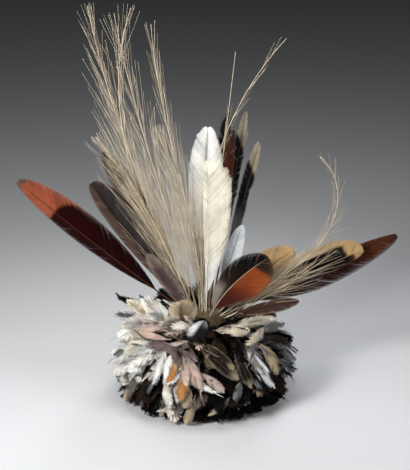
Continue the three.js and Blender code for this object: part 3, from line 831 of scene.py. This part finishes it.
# How wide the coat is at each height, and the feathers that stand out on its front. foot and tip are the turn
# (as in ZONES) and the height in millimetres where each starts and ends.
COAT_HEIGHTS = (0, 20, 50, 80, 105, 120, 132)
COAT_RADII = (104, 114, 121, 117, 100, 72, 36)
FOOT_DEPTH = 6  # how far inside the coat a front feather starts
TIP_PROUD = 9  # how far out of it its tip stands
FRONT_BULGE = (1, 1, 0.35)  # scales the way out from the cap's foot to the way a front feather arches
FRONT_SWEEP = 8  # how far front feathers sweep sideways at random, in degrees
FRONT_LOOKS = dict(SHORT_LOOKS, spacing=1.1, stations=4, overlap=1.15, cup=0.2)
FRONT_FEATHERS = table(
    "foot tip half arch form tone",
    ((180, 110), (180, 112), 5, 20, "hackle", "black"),
    ((189, 112), (180, 105), 7, 20, "body", "black"),
    ((201, 106), (180, 105), 5, 20, "body", "bluish"),
    ((215, 101), (180, 97), 8, 30, "body", "cream"),
    ((214, 95), (189, 86), 6, 30, "body", "cream"),
    ((208, 94), (197, 95), 4, 20, "body", "green"),
    ((233, 115), (199, 110), 6, 30, "body", "rosy"),
    ((241, 109), (212, 108), 5, 30, "body", "rosy"),
    ((246, 104), (225, 104), 8, 30, "downy", "mauve"),
    ((229, 99), (181, 59), 10, 40, "downy", "white"),
    ((231, 95), (190, 53), 10, 40, "downy", "white"),
    ((231, 90), (214, 62), 9, 40, "downy", "white"),
    ((230, 80), (198, 4), 14, 40, "body", "tan_tip"),
    ((236, 83), (224, 20), 9, 30, "downy", "brown"),
    ((240, 98), (240, 60), 9, 30, "downy", "white"),
    ((246, 97), (245, 70), 7, 30, "hackle", "white"),
    ((240, 77), (226, 9), 5, 30, "hackle", "grey"),
    ((251, 90), (248, 67), 7, 30, "body", "orange"),
    ((259, 84), (257, 44), 9, 30, "body", "orange"),
    ((255, 95), (262, 67), 7, 30, "body", "rosy"),
    ((244, 62), (249, 32), 8, 30, "body", "white"),
    ((249, 58), (254, 33), 6, 30, "body", "pied"),
    ((260, 62), (260, 32), 9, 40, "body", "beige"),
    ((265, 47), (261, 0), 7, 80, "body", "beige"),
    ((254, 29), (239, 16), 3, 20, "hackle", "cream"),
    ((218, 44), (196, 20), 5, 20, "hackle", "black"),
    ((233, 35), (226, 0), 4, 20, "hackle", "black"),
    ((244, 45), (231, 0), 7, 20, "hackle", "black"),
    ((257, 121), (234, 122), 9, 30, "downy", "white"),
    ((246, 111), (265, 92), 8, 40, "hackle", "mauve"),
    ((242, 106), (256, 87), 7, 40, "downy", "mauve"),
    ((258, 96), (269, 64), 9, 40, "body", "rosy"),
    ((275, 126), (263, 112), 14, 60, "body", "pied"),
    ((281, 119), (314, 115), 9, 30, "body", "cream"),
    ((302, 119), (360, 109), 7, 20, "body", "cream"),
    ((340, 108), (302, 106), 7, 40, "downy", "cream"),
    ((321, 108), (303, 90), 6, 40, "downy", "grey"),
    ((327, 109), (359, 98), 7, 30, "downy", "grey"),
    ((328, 103), (343, 86), 7, 30, "body", "brown"),
    ((319, 100), (321, 60), 12, 70, "body", "beige"),
    ((309, 95), (317, 63), 7, 40, "body", "pied"),
    ((340, 87), (350, 53), 3, 40, "hackle", "black"),
    ((310, 69), (318, 45), 6, 40, "body", "bluish"),
    ((326, 64), (350, 29), 5, 20, "hackle", "black"),
    ((324, 39), (342, 10), 7, 20, "hackle", "black"),
    ((314, 37), (337, 0), 7, 20, "body", "black"),
    ((267, 106), (291, 69), 9, 50, "body", "edged"),
    ((271, 110), (290, 85), 7, 40, "body", "edged"),
    ((267, 79), (283, 59), 7, 30, "body", "rosy"),
    ((262, 69), (277, 55), 6, 30, "downy", "white"),
    ((294, 100), (299, 55), 8, 40, "body", "edged"),
    ((289, 41), (274, 17), 5, 50, "hackle", "beige"),
    ((297, 64), (288, 43), 7, 30, "body", "grey"),
    ((282, 114), (283, 92), 11, 30, "body", "brown"),
    ((304, 112), (296, 90), 10, 30, "body", "black"),
)


def coat_point(turn, height, proud):
    """A place on the coat, or so far out of it, at a turn in degrees and a height."""
    return around(np.interp(height, COAT_HEIGHTS, COAT_RADII) + proud, math.radians(turn), height)


def short_feather(bundle, rng, origin, basis, length, half, form, tints, **looks):
    """A short feather of one of FORMS, with vanes of the same half width and the tints of tone_tint."""
    tint_of, shaft_tint = tints
    shape = {key: value for key, value in FORMS[form].items() if key != "width"}
    feather(bundle, rng, origin, basis, length, left=half, right=half, tint_of=tint_of, shaft_tint=shaft_tint,
            **shape, **looks)


def add_front_feathers(bundle, number, lowest, highest):
    """The front feathers that start at a height between two, lowest included."""
    rng = np.random.default_rng([61, number])
    for row in FRONT_FEATHERS:
        if not lowest <= row["foot"][1] < highest:
            continue
        foot, tip = coat_point(*row["foot"], -FOOT_DEPTH), coat_point(*row["tip"], TIP_PROUD)
        chord = unit(tip - foot)
        outward = (foot + tip) / 2 * FRONT_BULGE
        outward = unit(outward - (outward @ chord) * chord)
        half_turn = math.radians(row["arch"]) / 2
        along = chord * math.cos(half_turn) + outward * math.sin(half_turn)
        back = chord * math.sin(half_turn) - outward * math.cos(half_turn)
        basis = np.stack([np.cross(back, along), back, along], -1)
        length = np.linalg.norm(tip - foot) * half_turn / math.sin(half_turn)
        tints = tone_tint(rng, row["tone"])
        short_feather(bundle, rng, foot, basis, length, row["half"], row["form"], tints,
                      sweep=rng.normal(0, FRONT_SWEEP), arch=row["arch"], **FRONT_LOOKS)


def make_row(number, row):
    rng = np.random.default_rng([37, number])
    bundle = Bundle()
    add_front_feathers(bundle, number, row["lowest"], row["highest"])
    high = (row["rise"] - COAT_FOOT) / COAT_RISE
    for index in range(row["count"]):
        turn, pitch, skew, length, sweep = lock_frame(row, number, index)
        lock_tone = zone_tone(rng, math.degrees(turn) % 360, high)
        for tuft in range(TUFTS + SHADE_FEATHERS):
            under = tuft < SHADE_FEATHERS
            place_turn = turn + rng.uniform(-0.5, 0.5) * 2 * math.pi / row["count"]
            height = row["rise"] + rng.uniform(-SEAT_SPREAD, SEAT_SPREAD)
            radius, outward = cap_surface(height)
            off_cap = outward * (GAP + STRIP_THICKNESS * 0.5)
            origin = around(radius + off_cap[0], place_turn, height + off_cap[1])
            tuft_pitch = pitch + rng.normal(0, PITCH_SPREAD) - (UNDER_PITCH if under else 0)
            tuft_skew = skew + math.degrees(place_turn - turn) + rng.normal(0, SKEW_SPREAD)
            basis = hanging_frame(tuft_pitch, tuft_skew) @ turned(0, 0, rng.normal(0, ROLL_SPREAD))
            form = rng.choice(list(FORMS), p=FORM_ODDS)
            half = FORMS[form]["width"] * row["width"] / 2 * rng.uniform(0.8, 1.15)
            tone = lock_tone
            # Painted shade: the feathers beneath a lock are black or brown, to darken the gaps between the
            # tufts.
            if under:
                tone = rng.choice(["black", "brown"])
            elif rng.uniform() < STRAY:
                tone = zone_tone(rng, math.degrees(place_turn) % 360, high)
            tints = tone_tint(rng, tone)
            stretch = rng.uniform(0.7, 0.88) if under else rng.uniform(0.72, 1.03)
            bends = dict(sweep=sweep + rng.normal(0, SWEEP_SPREAD), arch=row["droop"] * rng.uniform(0.7, 1.3),
                         twist=rng.normal(0, TWIST_SPREAD), cup=rng.uniform(0.1, 0.45))
            looks = UNDER_LOOKS if under else SHORT_LOOKS
            short_feather(bundle, rng, origin, basis, length * stretch, half, form, tints, **bends, **looks)
    finish_piece(bundle.build(f"{row['name']}_coat", DOWN), row["slot"], row["name"])


for number, row in enumerate(ROWS, 1):
    make_row(number, row)


# Cover feathers that stand round the binding and hide the quills' feet: where each starts, its lean, back and
# turn, its length and half width, and how far it arches.
COVERS = table(
    "at aim length half arch form tone",
    ((-11, -16, 112), (-33, -3, 0), 118, 11, 0, "body", "mauve"),
    ((-22, -31, 98), (-8, -12, 0), 60, 20, -12, "body", "beige"),
    ((-9, -36, 97), (6, -26, 0), 40, 12, -20, "body", "black"),
    ((-7, -38, 95), (-2, -48, 0), 46, 15, -40, "body", "pied"),
    ((8, -38, 101), (76, -14, 20), 52, 9, -10, "body", "cream"),
    ((28, -34, 104), (68, -8, 20), 68, 10, -8, "body", "cream"),
    ((12, -34, 98), (30, -40, 0), 44, 13, -35, "body", "brown"),
    ((-40, -30, 98), (-32, -14, 0), 82, 13, -14, "downy", "white"),
    ((-46, -26, 96), (-44, -10, 0), 84, 12, -10, "downy", "cream"),
    ((-48, -20, 96), (-50, -4, 0), 92, 6, 0, "hackle", "black"),
    ((-30, -14, 102), (-58, -10, 0), 88, 15, -10, "downy", "white"),
    ((-28, -20, 100), (-48, -22, 0), 74, 16, -20, "downy", "white"),
    ((-30, -4, 101), (-66, 2, 0), 96, 11, 0, "hackle", "black"),
    ((-26, -28, 100), (-38, -30, 0), 60, 14, -30, "body", "cream"),
    ((-30, -18, 99), (-72, -18, 0), 90, 13, -14, "body", "white"),
    ((-32, -10, 100), (-76, -4, 0), 92, 10, 0, "hackle", "grey"),
)
COVER_LOOKS = dict(SHORT_LOOKS, floor=False, cup=0.25)

# A ring of smaller ones right at the binding.
RING_COVERS = 13
RING_RADIUS = 30
RING_HEIGHT = 97


def make_covers():
    rng = np.random.default_rng(53)
    bundle = Bundle()
    for row in COVERS:
        tints = tone_tint(rng, row["tone"])
        origin = np.array(row["at"], float)
        basis = turned(*row["aim"])
        short_feather(bundle, rng, origin, basis, row["length"], row["half"], row["form"], tints,
                      arch=row["arch"], **COVER_LOOKS)
    for index in range(RING_COVERS):
        turn = 360 * (index + 0.3 * rng.normal()) / RING_COVERS
        half = FORMS["body"]["width"] * rng.uniform(11, 15)
        tints = tone_tint(rng, zone_tone(rng, turn, 1.0))
        origin = around(RING_RADIUS, math.radians(turn), RING_HEIGHT)
        basis = hanging_frame(rng.uniform(58, 78), turn + rng.normal(0, 8))
        short_feather(bundle, rng, origin, basis, rng.uniform(40, 54), half, "body", tints,
                      arch=rng.uniform(30, 60), **COVER_LOOKS)
    piece = bundle.build("crown_covers", DOWN)
    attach(piece, "root")


make_covers()


# ---------------------------------------------------------------- cap and binding


def ring_tubes(bundle, radii, heights, thickness, tint, rng, sides=6, steps=64):
    """Level rings of cord, one for each radius and height."""
    angle = np.linspace(0, 2 * np.pi, steps + 1)
    for radius, height in zip(radii, heights):
        path = np.stack([radius * np.cos(angle), radius * np.sin(angle), np.full_like(angle, height)], -1)
        outward = np.stack([np.cos(angle), np.sin(angle), np.zeros_like(angle)], -1)
        girth = np.full(len(angle), thickness)
        shade = tint * (1 + 0.1 * rng.normal(0, 1, (len(angle), 1)))
        bundle.add(path[None], girth[None], girth[None], outward[None], shade[None], tube(sides))


def lathe(name, outline, sides, material, tint, ripple=0.0):
    """A closed body of revolution, with a ripple of the given depth across its coils."""
    mesh = bpy.data.meshes.new(name)
    points, faces, places = [], [], []
    count = len(outline)
    for side in range(sides):
        angle = side / sides * 2 * math.pi
        for radius, height in outline:
            wave = ripple * math.sin(angle * 48 + height * 1.3)
            points.append(((radius + wave) * math.cos(angle), (radius + wave) * math.sin(angle), height))
    for side in range(sides):
        following = (side + 1) % sides
        for place in range(count):
            after = (place + 1) % count
            faces.append((side * count + place, following * count + place, following * count + after,
                          side * count + after))
            u, v = side / sides, place / count
            places += [(u, v), (u + 1 / sides, v), (u + 1 / sides, v + 1 / count), (u, v + 1 / count)]
    values = np.array(points) * MM + SHIFT
    mesh.from_pydata(values.tolist(), [], faces)
    dress(mesh, places, tint, material)
    mesh.polygons.foreach_set("use_smooth", np.ones(len(faces), bool))
    mesh.update()
    return add_object(name, mesh)


def make_cap():
    """Coils of fibre, sewn side by side: each shows as a rounded ridge inside and out."""
    coils, steps = 28, 4
    wall = CAP_WALL / 2
    arc = np.linspace(0, 1, coils * steps + 1)[:-1]
    quarter = CAP_DOME * 1.2
    total = CAP_UPRIGHT + quarter
    outline = []
    for face in (1, -1):
        ordered = arc if face > 0 else arc[::-1]
        for share in ordered:
            travelled = share * total
            ridge = abs(math.sin(math.pi * share * coils)) ** 0.5
            offset = face * wall * (0.55 + 0.45 * ridge)
            if travelled < CAP_UPRIGHT:
                middle, outward = np.array([CAP_RADIUS - wall, travelled]), np.array([1.0, 0.0])
            else:
                angle = (travelled - CAP_UPRIGHT) / quarter * math.pi / 2
                middle = np.array([(CAP_RADIUS - wall) * math.cos(angle),
                                   CAP_UPRIGHT + (CAP_DOME - wall) * math.sin(angle)])
                outward = unit(np.array([math.cos(angle) / CAP_RADIUS, math.sin(angle) / CAP_DOME]))
            outline.append(tuple(middle + outward * offset))
    outline = [(max(0.4, radius), max(0.0, height)) for radius, height in outline]
    piece = lathe("fibre_cap", outline, 72, FIBRE, (0.13, 0.085, 0.045), ripple=0.12)
    finish_piece(piece, "fibre", "cap")


def make_binding():
    """A knob of cord wound round the quills, which narrows over its shoulder to a closed top."""
    rng = np.random.default_rng(41)
    bundle = Bundle()
    tint = np.array([0.12, 0.08, 0.045])
    cord, pitch, shoulder, narrowing = 2.6, 2.1, 14, 0.32
    heights = np.arange(98.5, BINDING_TOP - 1, pitch)
    high = np.clip((heights - (BINDING_TOP - shoulder)) / shoulder, 0, 1)
    outer = BINDING_RADIUS * (1 - narrowing * high ** 1.5) - cord / 2
    ring_tubes(bundle, outer, heights, cord, tint, rng)
    inner = np.arange(3.0, outer[-1], 2.2)
    ring_tubes(bundle, inner, np.full(len(inner), BINDING_TOP - 1.4), cord, tint, rng)
    finish_piece(bundle.build("wound_binding", FIBRE), "binding", "quill_binding")


make_cap()
make_binding()


# ---------------------------------------------------------------- floor, light and camera


def make_floor():
    size = 7.0
    mesh = bpy.data.meshes.new("floor")
    corners = [(-size, -size, 0), (size, -size, 0), (size, size, 0), (-size, size, 0)]
    mesh.from_pydata(corners, [], [(0, 1, 2, 3)])
    floor = add_object("floor", mesh)
    floor.location.z = -0.0005
    material, tree, shader = material_nodes("pale_floor")
    shader.inputs["Base Color"].default_value = (0.56, 0.57, 0.59, 1)
    shader.inputs["Roughness"].default_value = 0.75
    shader.inputs["Specular IOR Level"].default_value = 0.2
    mesh.materials.append(material)


def area_light(name, place, aim, size, power, colour, spread=180):
    light = bpy.data.lights.new(name, "AREA")
    light.size, light.energy, light.color = size, power, colour
    light.spread = math.radians(spread)
    lamp = add_object(name, light)
    lamp.location = place
    direction = Vector(aim) - Vector(place)
    lamp.rotation_euler = direction.to_track_quat("-Z", "Y").to_euler()


def make_camera():
    """The photograph's angle: level with the front, 20 degrees above, from 1.9 m."""
    distance, elevation = 1.9, math.radians(20)
    target = np.array([2.7, 0, 229.9]) * MM + SHIFT
    camera = bpy.data.cameras.new("camera")
    camera.sensor_fit, camera.sensor_height, camera.lens = "VERTICAL", 36, 107.8
    viewer = add_object("camera", camera)
    viewer.location = target + distance * np.array([0, -math.cos(elevation), math.sin(elevation)])
    viewer.rotation_euler = (math.pi / 2 - elevation, 0, 0)
    bpy.context.scene.camera = viewer


make_floor()
area_light("key", (-0.7, -0.85, 0.85), (0, 0, 0.1), 0.35, 19, (1.0, 0.985, 0.96))
area_light("fill", (0.9, -0.7, 0.6), (0, 0, 0.15), 0.4, 5, (0.97, 0.98, 1.0))
area_light("top", (0.0, -0.1, 1.1), (0, 0, 0.2), 0.5, 5, (1.0, 1.0, 1.0))
area_light("back", (0.45, 0.95, 0.8), (0, 0, 0.2), 0.5, 0.8, (0.98, 0.99, 1.0), spread=55)
area_light("back_left", (-0.6, 0.85, 0.7), (0, 0, 0.2), 0.5, 0.4, (0.98, 0.99, 1.0), spread=55)
world = bpy.data.worlds.new("studio")
world.use_nodes = True
world.node_tree.nodes["Background"].inputs["Color"].default_value = (0.55, 0.58, 0.62, 1)
world.node_tree.nodes["Background"].inputs["Strength"].default_value = 0.03
bpy.context.scene.world = world
bpy.context.scene.view_settings.view_transform = "Standard"
make_camera()
